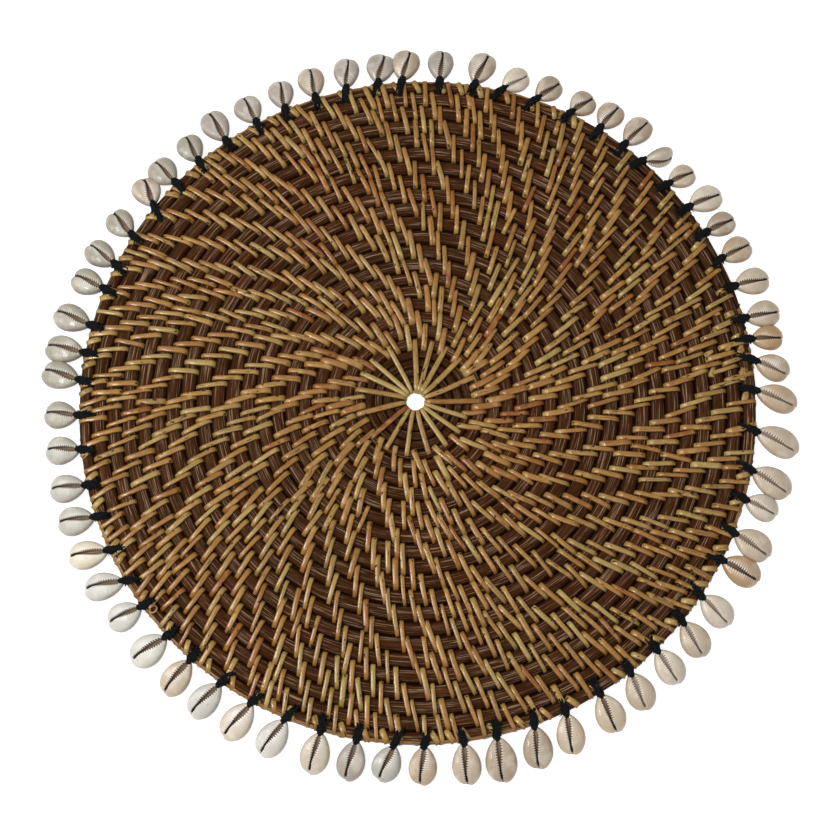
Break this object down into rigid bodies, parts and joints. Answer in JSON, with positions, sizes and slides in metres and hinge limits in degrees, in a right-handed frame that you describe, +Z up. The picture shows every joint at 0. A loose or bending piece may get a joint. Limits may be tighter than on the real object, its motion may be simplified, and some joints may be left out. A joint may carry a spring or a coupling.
{
  "type": "placemat",
  "caption": "Round coiled rattan placemat: dark rod in a flat spiral stitched with pale rattan skin, and cowrie shells tied round the rim.",
  "frame": {"origin": "under the middle of the whole outline, shells included, on the surface that the placemat lies on", "axes": "+Z up out of the laid placemat, +X to the right and +Y to the back as in the picture"},
  "size_m": [0.3838, 0.3834, 0.01],
  "materials": {
    "dark_rattan": "satin, smoked rattan rod bound with pale skin",
    "rim_rattan": "satin, smoked rattan rod under black thread ties",
    "pale_rattan": "satin, rattan skin",
    "cowrie": "glossy, natural shell"
  },
  "bodies": {
    "root": {"mat": "dark_rattan", "rim_coil": "rim_rattan", "start_rosette": "pale_rattan", "cowrie_01": "cowrie", "cowrie_02": "cowrie", "cowries_03_04": "cowrie", "cowrie_05": "cowrie", "cowrie_06": "cowrie", "cowrie_07": "cowrie", "cowrie_08": "cowrie", "cowrie_09": "cowrie", "cowrie_10": "cowrie", "cowrie_11": "cowrie", "cowrie_12": "cowrie", "cowrie_13": "cowrie", "cowrie_14": "cowrie", "cowrie_15": "cowrie", "cowrie_16": "cowrie", "cowrie_17": "cowrie", "cowries_18_19": "cowrie", "cowrie_20": "cowrie", "cowrie_21": "cowrie", "cowrie_22": "cowrie", "cowrie_23": "cowrie", "cowrie_24": "cowrie", "cowrie_25": "cowrie", "cowries_26_27": "cowrie", "cowrie_28": "cowrie", "cowrie_29": "cowrie", "cowrie_30": "cowrie", "cowrie_31": "cowrie", "cowries_32_33": "cowrie", "cowrie_34": "cowrie", "cowrie_35": "cowrie", "cowrie_36": "cowrie", "cowrie_37": "cowrie", "cowrie_38": "cowrie", "cowrie_39": "cowrie", "cowrie_40": "cowrie", "cowrie_41": "cowrie", "cowrie_42": "cowrie", "cowrie_43": "cowrie", "cowrie_44": "cowrie", "cowrie_45": "cowrie", "cowrie_46": "cowrie", "cowrie_47": "cowrie", "cowrie_48": "cowrie", "cowrie_49": "cowrie", "cowrie_50": "cowrie", "cowrie_51": "cowrie", "cowrie_52": "cowrie", "cowrie_53": "cowrie", "cowrie_54": "cowrie", "cowrie_55": "cowrie", "cowrie_56": "cowrie", "cowrie_57": "cowrie", "cowrie_58": "cowrie", "cowries_59_60": "cowrie", "cowries_61_62": "cowrie", "cowrie_63": "cowrie"}
  },
  "joints": []
}
